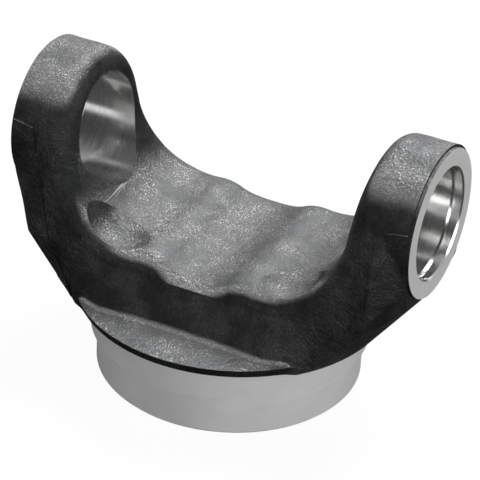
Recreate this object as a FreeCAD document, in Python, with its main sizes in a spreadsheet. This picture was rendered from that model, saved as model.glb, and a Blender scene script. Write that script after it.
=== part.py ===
import FreeCAD, Part
import math
import os
import Sketcher

# Weld yoke of a universal joint, drop forged in steel and then machined.
# X runs along the cross bores, Z runs along the tube axis, and the origin is
# the centre of the flat end of the tube seat.

SIZES = [
    # machined features
    ("bore_diameter", 34.925, "cross cup bore"),
    ("bore_height", 71.26, "bore axis above the end of the seat"),
    ("ear_span", 134.3, "machined ear face to machined ear face"),
    ("face_radius", 23.4, "machined face on each ear"),
    ("face_stand", 1.0, "machined face proud of the forged boss"),
    ("ring_inset", 4.05, "inner wall of the ring groove from the face"),
    ("ring_width", 1.6, "snap ring groove width"),
    ("ring_depth", 1.3, "snap ring groove depth"),
    ("bore_bevel", 0.5, "lead-in at the mouth of each bore"),
    ("seat_radius", 42.35, "tube pilot"),
    ("seat_length", 13.1, "tube pilot"),
    ("seat_bevel", 0.8, "lead-in at the end of the pilot"),
    ("shoulder_radius", 44.45, "weld shoulder, the tube's outside"),
    ("shoulder_rise", 1.2, "height of the slope from pilot to shoulder"),
    ("recess_radius", 31.0, "hollow in the tube end, at its mouth"),
    ("recess_top_radius", 24.0, "hollow in the tube end, at its roof"),
    ("recess_depth", 21.0, "hollow in the tube end"),
    # forged flange and shelf
    ("flange_radius", 49.9, "upper rim of the flange"),
    ("flange_low_radius", 49.0, "lower rim of the flange"),
    ("flange_base", 26.0, "underside of the forging"),
    ("flange_thick", 2.8, "trimmed rim"),
    ("shelf_rise", 0.9, "shelf above the rim where it meets the wall"),
    ("shelf_fillet", 3.0, "shelf into the wall"),
    # saddle between the ears
    ("saddle_height", 43.4, "middle of the valley"),
    ("ridge_height", 47.9, "ridge on each side of the valley"),
    ("valley_radius", 22.0, "valley across the middle"),
    ("ridge_radius", 14.0, "ridge on each side"),
    ("throat_radius", 24.0, "saddle into the ear"),
    ("throat_half", 46.0, "ear inner face at the throat"),
    ("ear_lean", 3.4, "inner face leans out by this at the ear's top"),
    ("crest_fillet", 6.0, "saddle and ears into the side walls"),
    # ears
    ("boss_radius", 24.3, "forged boss round each bore"),
    ("inner_boss_radius", 23.9, "boss at the inner face"),
    ("outer_base_half", 50.5, "outer slope where it leaves the flange"),
    ("outer_slope_height", 47.4, "outer slope where it meets the boss"),
    ("wall_run", 28.0, "length of the straight wall, from the middle"),
    ("root_offset", 42.0, "section at the root of the ear"),
    ("root_half", 30.0, "half width there"),
    ("root_base_half", 31.0, "half width there at the flange"),
    ("wall_half", 38.2, "half width of the wall at the flange"),
    ("waist_half", 30.2, "half width of the wall at the waist"),
    ("waist_height", 42.0, "height of the waist"),
    ("part_offset", 57.0, "parting section of the ear"),
    ("part_half", 29.7, "half width at the parting section"),
    ("part_height", 48.0, "height of that width"),
    ("part_base_half", 30.0, "half width of the parting section at the flange"),
    ("cheek_half", 21.5, "half width of the ear's outer section"),
    ("cheek_height", 58.0, "height of that width"),
    ("cheek_base_half", 8.0, "half width of the outer section, run down to the flange"),
    # trimmed flash
    ("flash_thick", 2.5, "trimmed flash band"),
    ("flash_stand", 0.7, "flash band proud of the wall"),
    ("flash_low", 42.0, "band at the flange, from the middle"),
    ("flash_knee", 51.5, "band where it steepens, from the middle"),
    ("flash_knee_height", 43.0, "height of that bend"),
    ("flash_top", 62.0, "band beside the bore, from the middle"),
    ("flash_top_rise", 4.0, "band turns outwards above the bore axis"),
    ("flash_out_rise", 1.5, "rise of the band from there to the face"),
    # hollows in the front of the saddle
    ("hollow_radius", 8.6, "round hollow, at its rim"),
    ("hollow_depth", 3.0, "round hollow"),
    ("hollow_offset", 26.8, "hollow from the middle, towards the ear"),
    ("hollow_forward", 21.3, "hollow from the middle, towards the front"),
    ("hollow_height", 48.6, "rim of the hollow, at its middle"),
]


DOC = FreeCAD.newDocument("weld_yoke")


def make_sheet():
    """Write the driving dimensions into a spreadsheet, one alias a row."""
    sheet = DOC.addObject("Spreadsheet::Sheet", "Sizes")
    for row, (alias, value, note) in enumerate(SIZES, start=1):
        sheet.set("A%d" % row, alias)
        sheet.set("B%d" % row, str(value))
        sheet.set("C%d" % row, note)
        sheet.setAlias("B%d" % row, alias)
    DOC.recompute()
    return sheet


SHEET = make_sheet()
ALIASES = sorted((name for name, value, note in SIZES), key=len, reverse=True)
TURN_TO_XZ = FreeCAD.Rotation(FreeCAD.Vector(1, 0, 0), 90)
TURN_TO_YZ = FreeCAD.Rotation(FreeCAD.Vector(1, 1, 1), 120)


def formula(text):
    """An expression on the sheet, from a formula in plain size names."""
    words = text.replace("(", " ( ").replace(")", " ) ").split()
    return " ".join("Sizes." + word if word in ALIASES else word for word in words)


def value(text):
    """What such a formula is worth with the sheet as it stands."""
    return float(SHEET.evalExpression(formula(text)))


def add(kind, name, **settings):
    """Add an object; a text setting is a formula, anything else is a plain value."""
    thing = DOC.addObject(kind, name)
    for key, setting in settings.items():
        if isinstance(setting, str) and not key.startswith("plain_"):
            thing.setExpression(key, formula(setting))
        else:
            setattr(thing, key.replace("plain_", ""), setting)
    return thing


def new_sketch(name, turn, offset=None):
    sketch = DOC.addObject("Sketcher::SketchObject", name)
    sketch.Placement = FreeCAD.Placement(FreeCAD.Vector(0, 0, 0), turn)
    if offset and offset != "0":
        sketch.setExpression("Placement.Base.x", formula(offset))
    return sketch


def fix(sketch, kind, *where, size):
    """Add a dimension whose value is a formula on the sheet."""
    name = "size_%d" % sketch.ConstraintCount
    index = sketch.addConstraint(Sketcher.Constraint(kind, *where, value(size)))
    sketch.renameConstraint(index, name)
    sketch.setExpression("Constraints." + name, formula(size))


def place(sketch, index, end, across, up):
    """Set a point of the sketch by its two coordinates; "0" lies on the axis."""
    for kind, size, axis in (("DistanceX", across, -2), ("DistanceY", up, -1)):
        if size == "0":
            sketch.addConstraint(Sketcher.Constraint("PointOnObject", index, end, axis))
        else:
            fix(sketch, kind, -1, 1, index, end, size=size)


def polygon(name, corners, turn=TURN_TO_XZ):
    """A closed outline of straight lines, each corner a pair of formulas."""
    sketch = new_sketch(name, turn)
    spots = [FreeCAD.Vector(value(across), value(up), 0) for across, up in corners]
    count = len(spots)
    for start in range(count):
        sketch.addGeometry(Part.LineSegment(spots[start], spots[(start + 1) % count]))
    for start, (across, up) in enumerate(corners):
        sketch.addConstraint(Sketcher.Constraint("Coincident", start, 2, (start + 1) % count, 1))
        place(sketch, start, 1, across, up)
    return sketch


def extrude(name, sketch, direction, length, both=False):
    return add("Part::Extrusion", name, Base=sketch, plain_DirMode="Custom", Dir=direction,
               LengthFwd=length, Symmetric=both, Solid=True)


ALONG_X = FreeCAD.Vector(1, 0, 0)
ALONG_Y = FreeCAD.Vector(0, 1, 0)


def tangent_point(corner, centre, radius):
    """Where the tangent from a corner meets a circle on its upper right side."""
    gap = corner - centre
    reach = gap.Length
    turn = math.atan2(gap.y, gap.x) + math.acos(radius / reach)
    return centre + FreeCAD.Vector(math.cos(turn), math.sin(turn), 0) * radius


def arch(name, offset, radius, half, height, base_half, grow=""):
    """A quarter of an ear's section across X: a sloped foot, a flank, and the boss's arc on top."""
    radius, half, base_half = radius + grow, half + grow, base_half + grow
    sketch = new_sketch(name, TURN_TO_YZ, offset)
    centre = FreeCAD.Vector(0, value("bore_height"), 0)
    foot = FreeCAD.Vector(0, value("flange_base"), 0)
    toe = FreeCAD.Vector(value(base_half), value("flange_base"), 0)
    knee = FreeCAD.Vector(value(half), value(height), 0)
    touch = tangent_point(knee, centre, value(radius))
    crown = centre + FreeCAD.Vector(0, value(radius), 0)
    start = math.atan2(touch.y - centre.y, touch.x)
    circle = Part.Circle(centre, FreeCAD.Vector(0, 0, 1), value(radius))
    sketch.addGeometry(Part.LineSegment(foot, toe))
    sketch.addGeometry(Part.LineSegment(toe, knee))
    sketch.addGeometry(Part.LineSegment(knee, touch))
    sketch.addGeometry(Part.ArcOfCircle(circle, start, math.pi / 2))
    sketch.addGeometry(Part.LineSegment(crown, foot))
    for first, second, end in ((0, 1, 1), (1, 2, 1), (4, 0, 1)):
        sketch.addConstraint(Sketcher.Constraint("Coincident", first, 2, second, end))
    sketch.addConstraint(Sketcher.Constraint("Tangent", 2, 2, 3, 1))
    sketch.addConstraint(Sketcher.Constraint("Coincident", 3, 2, 4, 1))
    place(sketch, 3, 3, "0", "bore_height")
    sketch.addConstraint(Sketcher.Constraint("PointOnObject", 3, 2, -2))
    fix(sketch, "Radius", 3, size=radius)
    place(sketch, 0, 1, "0", "flange_base")
    place(sketch, 1, 1, base_half, "flange_base")
    place(sketch, 2, 1, half, height)
    return sketch


def envelope(name, grow=""):
    """A quarter of the forging before the gap between the ears is taken out."""
    grow_text = " + " + grow if grow else ""
    middle = arch(name + "_middle_section", "0", "inner_boss_radius", "waist_half",
                  "waist_height", "wall_half", grow_text)
    wall = arch(name + "_wall_section", "wall_run", "inner_boss_radius", "waist_half",
                "waist_height", "wall_half", grow_text)
    root = arch(name + "_root_section", "root_offset", "inner_boss_radius", "root_half",
                "waist_height", "root_base_half", grow_text)
    parting = arch(name + "_parting_section", "part_offset", "boss_radius", "part_half",
                   "part_height", "part_base_half", grow_text)
    outer = arch(name + "_outer_section", "ear_span / 2 - face_stand", "boss_radius",
                 "cheek_half", "cheek_height", "cheek_base_half", grow_text)
    pieces = [extrude(name + "_wall", middle, ALONG_X, "wall_run")]
    for tag, pair in (("_root", [wall, root]), ("_inner_cheek", [root, parting]),
                      ("_outer_cheek", [parting, outer])):
        pieces.append(add("Part::Loft", name + tag, Sections=pair, Solid=True, Ruled=True))
    return add("Part::MultiFuse", name, Shapes=pieces, Refine=True)


def saddle_gap():
    """The gap between the ears: a shallow valley between two ridges, then up each inner face."""
    sketch = new_sketch("gap_outline", TURN_TO_XZ)
    valley_low, valley_round = value("saddle_height"), value("valley_radius")
    ridge_round, throat_round = value("ridge_radius"), value("throat_radius")
    valley = FreeCAD.Vector(0, valley_low + valley_round, 0)
    ridge_up = value("ridge_height - ridge_radius")
    ridge_out = math.sqrt((valley_round + ridge_round) ** 2 - (valley.y - ridge_up) ** 2)
    ridge = FreeCAD.Vector(ridge_out, ridge_up, 0)
    throat_out = value("throat_half - throat_radius")
    throat_up = ridge_up + math.sqrt((ridge_round + throat_round) ** 2 - (throat_out - ridge_out) ** 2)
    throat = FreeCAD.Vector(throat_out, throat_up, 0)
    top = value("bore_height + boss_radius + 5")
    lip = FreeCAD.Vector(value("throat_half + ear_lean"), top, 0)
    first = valley + (ridge - valley) * (valley_round / (valley_round + ridge_round))
    second = ridge + (throat - ridge) * (ridge_round / (ridge_round + throat_round))
    gap = lip - throat
    turn = math.atan2(gap.y, gap.x) - math.acos(throat_round / gap.Length)
    third = throat + FreeCAD.Vector(math.cos(turn), math.sin(turn), 0) * throat_round

    def arc(centre, radius, start, end):
        circle = Part.Circle(centre, FreeCAD.Vector(0, 0, 1), radius)
        angles = [math.atan2(spot.y - centre.y, spot.x - centre.x) for spot in (start, end)]
        return Part.ArcOfCircle(circle, angles[0], angles[1])

    bottom = FreeCAD.Vector(0, valley_low, 0)
    sketch.addGeometry(arc(valley, valley_round, bottom, first))
    sketch.addGeometry(arc(ridge, ridge_round, second, first))
    sketch.addGeometry(arc(throat, throat_round, second, third))
    sketch.addGeometry(Part.LineSegment(third, lip))
    sketch.addGeometry(Part.LineSegment(lip, FreeCAD.Vector(0, top, 0)))
    sketch.addGeometry(Part.LineSegment(FreeCAD.Vector(0, top, 0), bottom))
    for pair in ((0, 2, 1, 2), (1, 1, 2, 1), (2, 2, 3, 1)):
        sketch.addConstraint(Sketcher.Constraint("Tangent", *pair))
    for pair in ((3, 2, 4, 1), (4, 2, 5, 1), (5, 2, 0, 1)):
        sketch.addConstraint(Sketcher.Constraint("Coincident", *pair))
    place(sketch, 0, 1, "0", "saddle_height")
    place(sketch, 0, 3, "0", "saddle_height + valley_radius")
    fix(sketch, "DistanceY", -1, 1, 1, 3, size="ridge_height - ridge_radius")
    fix(sketch, "Radius", 1, size="ridge_radius")
    fix(sketch, "Radius", 2, size="throat_radius")
    fix(sketch, "DistanceX", -1, 1, 2, 3, size="throat_half - throat_radius")
    place(sketch, 3, 2, "throat_half + ear_lean", "bore_height + boss_radius + 5")
    place(sketch, 5, 1, "0", "bore_height + boss_radius + 5")
    return extrude("gap", sketch, ALONG_Y, "4 * wall_half", both=True)


def outer_slope():
    """The cone from the flange up to the bosses: what lies outside it comes off."""
    run = "( ear_span / 2 - face_stand - outer_base_half )"
    rise = "( outer_slope_height - flange_base )"
    far = "ear_span / 2 + boss_radius / 2"
    outline = polygon("slope_outline", [
        ("outer_base_half", "flange_base"),
        (far, "flange_base + ( %s - outer_base_half ) * %s / %s" % (far, rise, run)),
        (far, "flange_base - 2"),
        ("outer_base_half", "flange_base - 2")])
    return add("Part::Revolution", "slope", Source=outline, Axis=FreeCAD.Vector(0, 0, 1),
               Angle=360.0, Solid=True)


def flash_strip():
    """The band left by trimming, from the flange up beside the bore and out to the face."""
    low, top = "flash_low", "flash_top"
    turn_up = "bore_height + flash_top_rise"
    outline = polygon("flash_outline", [
        (low, "flange_base"),
        ("flash_knee", "flash_knee_height"),
        (top, turn_up),
        ("ear_span / 2", turn_up + " + flash_out_rise"),
        ("ear_span / 2", turn_up + " + flash_out_rise + flash_thick"),
        (top + " - flash_thick", turn_up + " + flash_thick"),
        ("flash_knee - flash_thick", "flash_knee_height"),
        (low + " - flash_thick", "flange_base")])
    return extrude("flash_sheet", outline, ALONG_Y, "4 * wall_half", both=True)


def hub():
    """Pilot, weld shoulder and flange, turned about Z, with the hollow in the tube end."""
    rim, shelf = "flange_base + flange_thick", "flange_base + flange_thick + shelf_rise"
    outline = polygon("hub_outline", [
        ("0", "recess_depth"),
        ("recess_top_radius", "recess_depth"),
        ("recess_radius", "0"),
        ("seat_radius - seat_bevel", "0"),
        ("seat_radius", "seat_bevel"),
        ("seat_radius", "seat_length"),
        ("shoulder_radius", "seat_length + shoulder_rise"),
        ("shoulder_radius", "flange_base"),
        ("flange_low_radius", "flange_base"),
        ("flange_radius", rim),
        ("wall_half - shelf_fillet", shelf),
        ("0", shelf)])
    return add("Part::Revolution", "hub", Source=outline, Axis=FreeCAD.Vector(0, 0, 1),
               Angle=360.0, Solid=True)


def mirror(name, source, normal):
    return add("Part::Mirroring", name, Source=source, Normal=normal)


def all_round(name, quarter):
    """A quarter mirrored in Y and then in X, and joined."""
    side = mirror(name + "_side", quarter, ALONG_Y)
    half = add("Part::MultiFuse", name + "_half", Shapes=[quarter, side], Refine=True)
    other = mirror(name + "_other", half, ALONG_X)
    return add("Part::MultiFuse", name + "_whole", Shapes=[half, other], Refine=True)


def touches(edge, solids, slack=1e-3):
    """Whether an edge lies on the skin of every solid given."""
    first, last = edge.ParameterRange
    for part in (0.2, 0.5, 0.8):
        spot = Part.Vertex(edge.valueAt(first + (last - first) * part))
        for solid in solids:
            if spot.distToShape(Part.Shell(solid.Shape.Faces))[0] > slack:
                return False
    return True


def round_off(name, base, solids, radius):
    """Fillet every edge where the skins of two solids meet."""
    size = value(radius)
    edges = [number for number, edge in enumerate(base.Shape.Edges, start=1) if touches(edge, solids)]
    return add("Part::Fillet", name, Base=base, Edges=[(number, size, size) for number in edges])


def checked(name, tools):
    """Recompute, and stop if anything failed or a tool's shape is empty."""
    DOC.recompute()
    for thing in DOC.Objects:
        if "Invalid" in thing.State or "Error" in thing.State:
            raise RuntimeError("%s failed in %s" % (thing.Name, name))


def cylinder_across(name, radius, start, length):
    """A cylinder about the bore axis, from a place on X towards +X."""
    thing = add("Part::Cylinder", name, Radius=radius, Height=length)
    thing.Placement = FreeCAD.Placement(FreeCAD.Vector(0, 0, 0), FreeCAD.Rotation(ALONG_Y, 90))
    thing.setExpression("Placement.Base.x", formula(start))
    thing.setExpression("Placement.Base.z", formula("bore_height"))
    return thing


def ear_machining(side):
    """Ring groove and lead-in of one ear's bore, as tools; side is 1 or -1."""
    tag = "right" if side > 0 else "left"
    face = "ear_span / 2"
    groove = cylinder_across("groove_" + tag, "bore_diameter / 2 + ring_depth",
                             face + " - ring_inset", "ring_width")
    lead = add("Part::Cone", "lead_in_" + tag, Radius1="bore_diameter / 2",
               Radius2="bore_diameter / 2 + bore_bevel", Height="bore_bevel")
    lead.Placement = FreeCAD.Placement(FreeCAD.Vector(0, 0, 0), FreeCAD.Rotation(ALONG_Y, 90 * side))
    lead.setExpression("Placement.Base.z", formula("bore_height"))
    if side > 0:
        lead.setExpression("Placement.Base.x", formula(face + " - bore_bevel"))
    else:
        lead.setExpression("Placement.Base.x", formula("bore_bevel - " + face))
        groove.setExpression("Placement.Base.x", formula("ring_inset - ring_width - " + face))
    return [groove, lead]


def hollow(side):
    """A ball that sinks one round hollow into the front of the saddle."""
    tag = "right" if side > 0 else "left"
    ball_radius = "( hollow_radius ^ 2 + hollow_depth ^ 2 ) / ( 2 * hollow_depth )"
    ball = add("Part::Sphere", "hollow_" + tag, Radius=ball_radius)
    ball.setExpression("Placement.Base.x", formula(("" if side > 0 else "0 - ") + "hollow_offset"))
    ball.setExpression("Placement.Base.y", formula("0 - hollow_forward"))
    ball.setExpression("Placement.Base.z", formula("hollow_height - hollow_depth + " + ball_radius))
    return ball


envelope_whole = all_round("envelope", envelope("envelope"))
band_envelope = all_round("band", envelope("band", "flash_stand"))
gap = saddle_gap()
gap_whole = add("Part::MultiFuse", "gap_whole", Shapes=[gap, mirror("gap_other", gap, ALONG_X)],
                Refine=True)
slope = outer_slope()
strip = flash_strip()
strips = add("Part::MultiFuse", "flash_sheets", Shapes=[strip, mirror("flash_other", strip, ALONG_X)])
trims = add("Part::MultiFuse", "trims", Shapes=[gap_whole, slope])
arms = add("Part::Cut", "arms", Base=envelope_whole, Tool=trims)
turned = hub()
blank = add("Part::MultiFuse", "blank", Shapes=[arms, turned], Refine=True)
DOC.recompute()
crest = round_off("crest", blank, [gap_whole, envelope_whole], "crest_fillet")
DOC.recompute()
shelf = round_off("shelf", crest, [turned, envelope_whole], "shelf_fillet")
band = add("Part::MultiCommon", "flash_band", Shapes=[band_envelope, strips])
flash = add("Part::Cut", "flash", Base=band, Tool=trims)
faces = cylinder_across("faces", "face_radius", "0 - ear_span / 2", "ear_span")
face_gap = add("Part::Box", "face_gap", Length="2 * part_offset", Width="4 * wall_half",
               Height="4 * boss_radius")
face_gap.setExpression("Placement.Base.x", formula("0 - part_offset"))
face_gap.setExpression("Placement.Base.y", formula("0 - 2 * wall_half"))
face_gap.setExpression("Placement.Base.z", formula("bore_height - 2 * boss_radius"))
face_discs = add("Part::Cut", "face_discs", Base=faces, Tool=face_gap)
forging = add("Part::MultiFuse", "forging", Shapes=[shelf, flash, face_discs])
bore = cylinder_across("bore", "bore_diameter / 2", "0 - ear_span / 2 - 1", "ear_span + 2")
tools = [bore] + ear_machining(1) + ear_machining(-1) + [hollow(1), hollow(-1)]
machining = add("Part::MultiFuse", "machining", Shapes=tools)
yoke = add("Part::Cut", "yoke", Base=forging, Tool=machining)
yoke.Label = "weld_yoke"
yoke.Placement = FreeCAD.Placement()
DOC.recompute()
for thing in DOC.Objects:
    if "Invalid" in thing.State or "Error" in thing.State:
        raise RuntimeError("%s failed: %s" % (thing.Name, thing.State))
shape = yoke.Shape
if shape.isNull() or not shape.isValid() or len(shape.Solids) != 1:
    raise RuntimeError("the yoke isn't one valid solid: %d" % len(shape.Solids))
os.makedirs("parts", exist_ok=True)
shape.exportStep("parts/weld_yoke.step")
print("weld_yoke", round(shape.Volume), "mm3", [round(v, 2) for v in (
    shape.BoundBox.XLength, shape.BoundBox.YLength, shape.BoundBox.ZLength)], len(shape.Faces), "faces")
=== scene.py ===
"""Looks of a drop forged weld yoke: scale-covered forging with turned, faced and honed steel.

Metres throughout. X runs along the cross bores, Z along the tube axis, and the origin is
the centre of the flat end of the tube seat.
"""
import math
import bpy
import numpy as np
from mathutils import Matrix, Vector

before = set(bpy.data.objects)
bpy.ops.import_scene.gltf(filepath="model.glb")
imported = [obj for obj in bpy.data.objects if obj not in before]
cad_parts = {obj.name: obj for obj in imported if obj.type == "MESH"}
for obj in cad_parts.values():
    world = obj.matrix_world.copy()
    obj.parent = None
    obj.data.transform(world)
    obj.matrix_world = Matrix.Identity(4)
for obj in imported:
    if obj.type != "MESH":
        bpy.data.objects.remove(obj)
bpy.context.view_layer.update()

BORE_HEIGHT = 0.07126        # bore axis above the end of the seat
BORE_RADIUS = 0.0174625
RING_GROOVE_REACH = 0.0014   # just past the depth of the snap ring groove beyond the bore
EAR_FACE = 0.06690           # machined ear faces lie further out than this
GROOVE_ZONE = 0.0600         # groove and lead-in lie further out than this
FORGING_UNDERSIDE = 0.0259   # just under the forging's rim, where the turned hub ends
HUB_MOUTH = 0.0311           # just outside the mouth of the hollow in the tube end
SEAT_END = 0.00005           # facets lower than this are the flat end of the seat
EAR_ROOM = 0.0300            # nothing nearer the middle than this belongs to a bore
FLOOR_REACH = 6.0
FLOOR_DROP = 0.0002          # gap from the seat's flat end, so the two never share a plane
SQUARE_ON = 0.9              # share of a normal along X that counts as facing along X


# ---------------------------------------------------------------- shader helpers

def new_group(name, inputs, outputs):
    """An empty shader node group with float or colour sockets, and its two end nodes."""
    tree = bpy.data.node_groups.new(name, "ShaderNodeTree")
    for label, kind, value in inputs:
        socket = tree.interface.new_socket(label, in_out="INPUT", socket_type=kind)
        if value is not None:
            socket.default_value = value
    for label, kind in outputs:
        tree.interface.new_socket(label, in_out="OUTPUT", socket_type=kind)
    return tree, tree.nodes.new("NodeGroupInput"), tree.nodes.new("NodeGroupOutput")


def node(tree, kind, inputs=None, **settings):
    """Add a node; an input is a plain value or a socket to link from."""
    made = tree.nodes.new(kind)
    for key, setting in settings.items():
        setattr(made, key, setting)
    for key, source in (inputs or {}).items():
        socket = made.inputs[key]
        if isinstance(source, bpy.types.NodeSocket):
            tree.links.new(source, socket)
        else:
            socket.default_value = source
    return made


def math_node(tree, operation, first, second=None, clamp=False):
    inputs = {0: first} if second is None else {0: first, 1: second}
    return node(tree, "ShaderNodeMath", inputs, operation=operation, use_clamp=clamp).outputs[0]


def ramp(tree, source, low, high, low_value=0.0, high_value=1.0):
    """A smooth step of a value between two marks."""
    return node(tree, "ShaderNodeMapRange",
                {"Value": source, "From Min": low, "From Max": high,
                 "To Min": low_value, "To Max": high_value},
                interpolation_type="SMOOTHSTEP").outputs["Result"]


def mix_colour(tree, factor, first, second):
    made = tree.nodes.new("ShaderNodeMix")
    made.data_type = "RGBA"
    for index, source in ((0, factor), (6, first), (7, second)):
        if isinstance(source, bpy.types.NodeSocket):
            tree.links.new(source, made.inputs[index])
        else:
            made.inputs[index].default_value = source
    return made.outputs[2]


def grey(level, warmth=0.0):
    return (level * (1 + warmth), level, level * (1 - warmth), 1.0)


def noise(tree, place, scale, detail=2.0, rough=0.5):
    return node(tree, "ShaderNodeTexNoise",
                {"Vector": place, "Scale": scale, "Detail": detail, "Roughness": rough},
                noise_dimensions="3D").outputs["Fac"]


# ---------------------------------------------------------------- shared effects

def make_blast_grain():
    """Shot blasted skin: fine pits and a speckle of struck points over softer hammered waves;
    the forging turns the speckle into painted glints.
    """
    tree, into, out = new_group(
        "blast_grain",
        [("Place", "NodeSocketVector", None), ("Pit Scale", "NodeSocketFloat", 1400.0),
         ("Wave Scale", "NodeSocketFloat", 130.0)],
        [("Height", "NodeSocketFloat"), ("Struck", "NodeSocketFloat"),
         ("Blotch", "NodeSocketFloat")])
    place = into.outputs["Place"]
    pits = noise(tree, place, into.outputs["Pit Scale"], 3.0, 0.65)
    waves = noise(tree, place, into.outputs["Wave Scale"], 3.0, 0.55)
    blotch = noise(tree, place, 75.0, 5.0, 0.65)
    fine_scale = math_node(tree, "MULTIPLY", into.outputs["Pit Scale"], 2.0)
    struck = noise(tree, place, fine_scale, 3.0, 0.7)
    struck = ramp(tree, struck, 0.50, 0.72)
    height = math_node(tree, "ADD", math_node(tree, "MULTIPLY", pits, 0.35),
                       math_node(tree, "MULTIPLY", waves, 0.9))
    tree.links.new(height, out.inputs["Height"])
    tree.links.new(struck, out.inputs["Struck"])
    tree.links.new(blotch, out.inputs["Blotch"])
    return tree


def make_tool_lines():
    """Fine parallel tool marks: the sine of a distance over the pitch, scaled by slow noise."""
    tree, into, out = new_group(
        "tool_lines",
        [("Distance", "NodeSocketFloat", 0.0), ("Pitch", "NodeSocketFloat", 0.00025)],
        [("Lines", "NodeSocketFloat"), ("Drift", "NodeSocketFloat")])
    turns = math_node(tree, "DIVIDE", into.outputs["Distance"], into.outputs["Pitch"])
    wave = math_node(tree, "SINE", math_node(tree, "MULTIPLY", turns, 2 * math.pi))
    slow = math_node(tree, "MULTIPLY", turns, 0.37)
    along = node(tree, "ShaderNodeCombineXYZ", {"X": slow}).outputs[0]
    drift = noise(tree, along, 1.0, 2.0, 0.6)
    lines = math_node(tree, "MULTIPLY", math_node(tree, "ADD", wave, 1.0),
                      math_node(tree, "MULTIPLY", drift, 0.5))
    tree.links.new(lines, out.inputs["Lines"])
    tree.links.new(drift, out.inputs["Drift"])
    return tree


BLAST_GRAIN = make_blast_grain()
TOOL_LINES = make_tool_lines()


def start_material(name):
    material = bpy.data.materials.new(name)
    material.use_nodes = True
    tree = material.node_tree
    shader = tree.nodes["Principled BSDF"]
    place = tree.nodes.new("ShaderNodeTexCoord").outputs["Object"]
    return material, tree, shader, place


def axis_distance(tree, place, middle, across):
    """Length of the offset from a point, kept only along the directions set to 1."""
    apart = node(tree, "ShaderNodeVectorMath", {0: place, 1: middle},
                 operation="SUBTRACT").outputs[0]
    flat = node(tree, "ShaderNodeVectorMath", {0: apart, 1: across},
                operation="MULTIPLY").outputs[0]
    return node(tree, "ShaderNodeVectorMath", {0: flat}, operation="LENGTH").outputs["Value"]


SCALE_DARK = grey(0.014, -0.05)
SCALE_LIGHT = grey(0.036, -0.03)
# Painted top light: the tone given to upward faces.
SCALE_PAINTED_TOP_LIGHT = grey(0.150, -0.02)
# Painted sheen: the tone of faces sloping up toward front or back.
PAINTED_SHEEN_TONE = grey(0.34)
# Painted glint: the near-white tone of struck points on upward faces.
PAINTED_GLINT = grey(0.85)


def make_forged_scale():
    """Blasted blue-black forging scale in random blotches; painted light: upward faces lighter,
    a painted sheen on faces sloping up to front and back, painted glints on upward faces.
    """
    material, tree, shader, place = start_material("forged_scale")
    grain = node(tree, "ShaderNodeGroup", node_tree=BLAST_GRAIN)
    tree.links.new(place, grain.inputs["Place"])
    grain.inputs["Pit Scale"].default_value = 1150.0
    grain.inputs["Wave Scale"].default_value = 140.0
    facing = node(tree, "ShaderNodeSeparateXYZ",
                  {0: tree.nodes.new("ShaderNodeNewGeometry").outputs["Normal"]})
    up = facing.outputs["Z"]
    side = math_node(tree, "ABSOLUTE", facing.outputs["Y"])
    # Painted sheen mask: faces sloping up and toward front or back, where the light catches
    # them.
    painted_sheen_mask = math_node(tree, "MULTIPLY", ramp(tree, up, 0.50, 0.72), ramp(tree, side, 0.30, 0.55))
    base = mix_colour(tree, ramp(tree, grain.outputs["Blotch"], 0.32, 0.68),
                      SCALE_DARK, SCALE_LIGHT)
    # Painted light: upward faces are made lighter, as if lit from above.
    base = mix_colour(tree, ramp(tree, up, 0.55, 1.0), base, SCALE_PAINTED_TOP_LIGHT)
    # Painted sheen laid on those sloping faces.
    painted_sheen = math_node(tree, "MULTIPLY", painted_sheen_mask, 0.55)
    base = mix_colour(tree, painted_sheen, base, PAINTED_SHEEN_TONE)
    # Glint coverage: random blotches, plus more on the painted-sheen faces.
    patchy = math_node(tree, "ADD", ramp(tree, grain.outputs["Blotch"], 0.42, 0.62, 0.15, 1.0),
                       math_node(tree, "MULTIPLY", painted_sheen_mask, 0.5))
    # Painted glints: the struck-point speckle is brightened only on upward faces, where the
    # overhead light would glint.
    painted_glint_gate = ramp(tree, up, 0.50, 0.85, 0.07, 1.0)
    peppered = math_node(tree, "MULTIPLY", grain.outputs["Struck"], patchy)
    bright = math_node(tree, "MULTIPLY", peppered, painted_glint_gate, clamp=True)
    colour = mix_colour(tree, bright, base, PAINTED_GLINT)
    tree.links.new(colour, shader.inputs["Base Color"])
    rough = ramp(tree, grain.outputs["Struck"], 0.0, 1.0, 0.50, 0.34)
    tree.links.new(rough, shader.inputs["Roughness"])
    shader.inputs["Metallic"].default_value = 0.7
    shader.inputs["Specular IOR Level"].default_value = 0.3
    bump = node(tree, "ShaderNodeBump",
                {"Height": grain.outputs["Height"], "Strength": 1.0, "Distance": 0.0013})
    tree.links.new(bump.outputs[0], shader.inputs["Normal"])
    return material


def make_cut_steel(name, middle, across, pitch, tone, rough_low, rough_high, depth, metal):
    """Cut steel whose tool lines lie at even distances from an axis or a plane."""
    material, tree, shader, place = start_material(name)
    distance = axis_distance(tree, place, middle, across)
    lines = node(tree, "ShaderNodeGroup", {"Distance": distance, "Pitch": pitch},
                 node_tree=TOOL_LINES)
    smear = noise(tree, place, 90.0, 3.0, 0.55)
    colour = mix_colour(tree, math_node(tree, "MULTIPLY", lines.outputs["Drift"], smear),
                        grey(tone * 1.12, 0.006), grey(tone * 0.72, 0.004))
    tree.links.new(colour, shader.inputs["Base Color"])
    tree.links.new(ramp(tree, lines.outputs["Drift"], 0.3, 0.7, rough_low, rough_high),
                   shader.inputs["Roughness"])
    shader.inputs["Metallic"].default_value = metal
    bump = node(tree, "ShaderNodeBump",
                {"Height": lines.outputs["Lines"], "Strength": 0.4, "Distance": depth})
    tree.links.new(bump.outputs[0], shader.inputs["Normal"])
    return material


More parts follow.
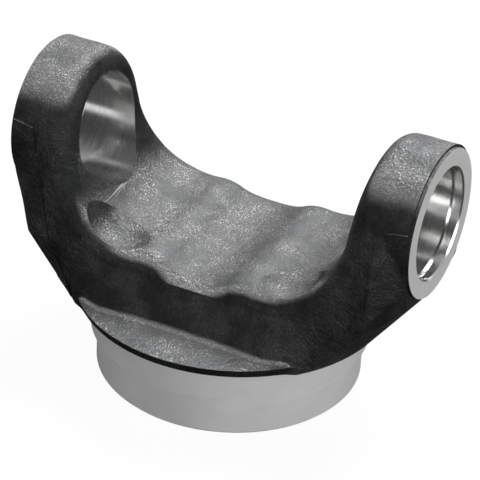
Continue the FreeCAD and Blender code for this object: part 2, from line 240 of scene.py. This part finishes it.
BORE_AXIS = (0.0, 0.0, BORE_HEIGHT)
FORGED = make_forged_scale()
FACED = make_cut_steel(
    "faced_ear", middle=BORE_AXIS, across=(0.0, 1.0, 1.0), pitch=0.00045, tone=0.80,
    rough_low=0.38, rough_high=0.50, depth=0.00004, metal=0.45)
TURNED = make_cut_steel(
    "turned_seat", middle=(0.0, 0.0, 0.0), across=(0.0, 0.0, 1.0), pitch=0.00040, tone=0.84,
    rough_low=0.36, rough_high=0.48, depth=0.00005, metal=0.35)
HONED = make_cut_steel(
    "honed_bore", middle=(0.0, 0.0, 0.0), across=(1.0, 0.0, 0.0), pitch=0.00060, tone=0.70,
    rough_low=0.16, rough_high=0.22, depth=0.000002, metal=1.0)


# ---------------------------------------------------------------- finishes on the forging

def finish_zones(mesh):
    """Which finish each facet has, from its middle and its normal, as whole arrays.

    0 forged, 1 faced ear, 2 turned seat, 3 honed bore."""
    count = len(mesh.polygons)
    middle, normal = np.zeros(count * 3), np.zeros(count * 3)
    mesh.polygons.foreach_get("center", middle)
    mesh.polygons.foreach_get("normal", normal)
    middle, normal = middle.reshape(-1, 3), normal.reshape(-1, 3)
    out = np.abs(middle[:, 0])
    from_bore = np.hypot(middle[:, 1], middle[:, 2] - BORE_HEIGHT)
    from_tube = np.hypot(middle[:, 0], middle[:, 1])
    zone = np.zeros(count, np.int32)
    faced = (out > EAR_FACE) & (np.abs(normal[:, 0]) > SQUARE_ON)
    turned = (middle[:, 2] < FORGING_UNDERSIDE) & (
        (from_tube > HUB_MOUTH) | (middle[:, 2] < SEAT_END))
    in_bore = (from_bore < BORE_RADIUS + RING_GROOVE_REACH) & (out > EAR_ROOM)
    honed = in_bore & ((np.abs(normal[:, 0]) < SQUARE_ON) | (out > GROOVE_ZONE)) & ~faced
    zone[faced], zone[turned], zone[honed] = 1, 2, 3
    return zone


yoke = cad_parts["weld_yoke"]
yoke.data.materials.clear()
for finish in (FORGED, FACED, TURNED, HONED):
    yoke.data.materials.append(finish)
yoke.data.polygons.foreach_set("material_index", finish_zones(yoke.data))
yoke.data.update()


# ---------------------------------------------------------------- floor, light and camera

def make_floor():
    """A plain pale sheet that the yoke stands on, seen as white and keeping the shadow."""
    corners = ((-1, -1), (1, -1), (1, 1), (-1, 1))
    mesh = bpy.data.meshes.new("floor")
    mesh.from_pydata([(FLOOR_REACH * x, FLOOR_REACH * y, -FLOOR_DROP) for x, y in corners],
                     [], [(0, 1, 2, 3)])
    floor = bpy.data.objects.new("floor", mesh)
    bpy.context.scene.collection.objects.link(floor)
    material = bpy.data.materials.new("pale_floor")
    material.use_nodes = True
    tree = material.node_tree
    tree.nodes.clear()
    path = node(tree, "ShaderNodeLightPath")
    seen = path.outputs["Is Camera Ray"]
    pale = mix_colour(tree, seen, grey(0.07), grey(0.80))
    diffuse = node(tree, "ShaderNodeBsdfDiffuse", {"Color": pale})
    glow = node(tree, "ShaderNodeEmission", {"Color": grey(1.0), "Strength": 1.04})
    blend = node(tree, "ShaderNodeMixShader", {0: math_node(tree, "MULTIPLY", seen, 0.9),
                                               1: diffuse.outputs[0], 2: glow.outputs[0]})
    node(tree, "ShaderNodeOutputMaterial", {"Surface": blend.outputs[0]})
    mesh.materials.append(material)


def make_world():
    """White where it is seen; what lights and what shines on the metal is softer."""
    world = bpy.data.worlds.new("studio")
    bpy.context.scene.world = world
    world.use_nodes = True
    tree = world.node_tree
    tree.nodes.clear()
    path = node(tree, "ShaderNodeLightPath")
    toward = node(tree, "ShaderNodeTexCoord").outputs["Generated"]
    parts = node(tree, "ShaderNodeSeparateXYZ", {0: toward})
    back = ramp(tree, parts.outputs["Y"], -0.2, 0.8, 0.06, 0.55)
    horizon = ramp(tree, parts.outputs["Z"], 0.12, 0.30, 1.0, 0.0)
    shine = math_node(tree, "MAXIMUM", back, horizon)
    soft, bright = (node(tree, "ShaderNodeCombineColor", {0: level, 1: level, 2: level})
                    for level in (back, shine))
    lit = mix_colour(tree, path.outputs["Is Glossy Ray"], soft.outputs[0], bright.outputs[0])
    seen = mix_colour(tree, path.outputs["Is Camera Ray"], lit, grey(1.0))
    sky = node(tree, "ShaderNodeBackground", {"Color": seen, "Strength": 1.0})
    node(tree, "ShaderNodeOutputWorld", {"Surface": sky.outputs[0]})


def area_light(name, place, target, size, power):
    lamp = bpy.data.lights.new(name, "AREA")
    lamp.shape, lamp.size, lamp.size_y, lamp.energy = "RECTANGLE", size[0], size[1], power
    holder = bpy.data.objects.new(name, lamp)
    bpy.context.scene.collection.objects.link(holder)
    holder.location = place
    toward = Vector(target) - Vector(place)
    holder.rotation_euler = toward.to_track_quat("-Z", "Y").to_euler()


def make_camera():
    """Long lens from the front right, above the ears, turned a little about its own axis."""
    azimuth, elevation, roll = (math.radians(a) for a in (25.2175, 32.5113, 3.0874))
    back = Vector((math.sin(azimuth) * math.cos(elevation),
                   -math.cos(azimuth) * math.cos(elevation), math.sin(elevation)))
    right = Vector((math.cos(azimuth), math.sin(azimuth), 0.0))
    up = back.cross(right)
    turned_right = right * math.cos(roll) + up * math.sin(roll)
    turned_up = up * math.cos(roll) - right * math.sin(roll)
    target, distance = Vector((0.0, 0.0, 0.034925)), 0.83198
    data = bpy.data.cameras.new("camera")
    data.sensor_width, data.lens = 36.0, 199.03
    data.shift_x, data.shift_y = 0.0131, 0.0504
    data.clip_start, data.clip_end = 0.01, 50.0
    camera = bpy.data.objects.new("camera", data)
    bpy.context.scene.collection.objects.link(camera)
    turn = Matrix((turned_right, turned_up, back)).transposed()
    camera.matrix_world = Matrix.Translation(target + back * distance) @ turn.to_4x4()
    bpy.context.scene.camera = camera


make_floor()
make_world()
make_camera()
LAMPS = [  # name, place, what it points at, width and height, power
    ("overhead_softbox", (0.10, 0.60, 1.0), (0, 0, 0.05), (0.7, 0.5), 12.0),
    ("left_strip", (-0.9, -0.02, 0.60), (0, 0, 0.05), (0.35, 0.9), 3.0),
    ("front_fill", (0.35, -1.2, 0.35), (0, 0, 0.03), (0.9, 0.5), 7.0),
    ("right_fill", (1.1, 0.0, 0.35), (0, 0, 0.06), (0.5, 0.5), 5.5),
]
for lamp_values in LAMPS:
    area_light(*lamp_values)
bpy.context.scene.view_settings.view_transform = "Standard"
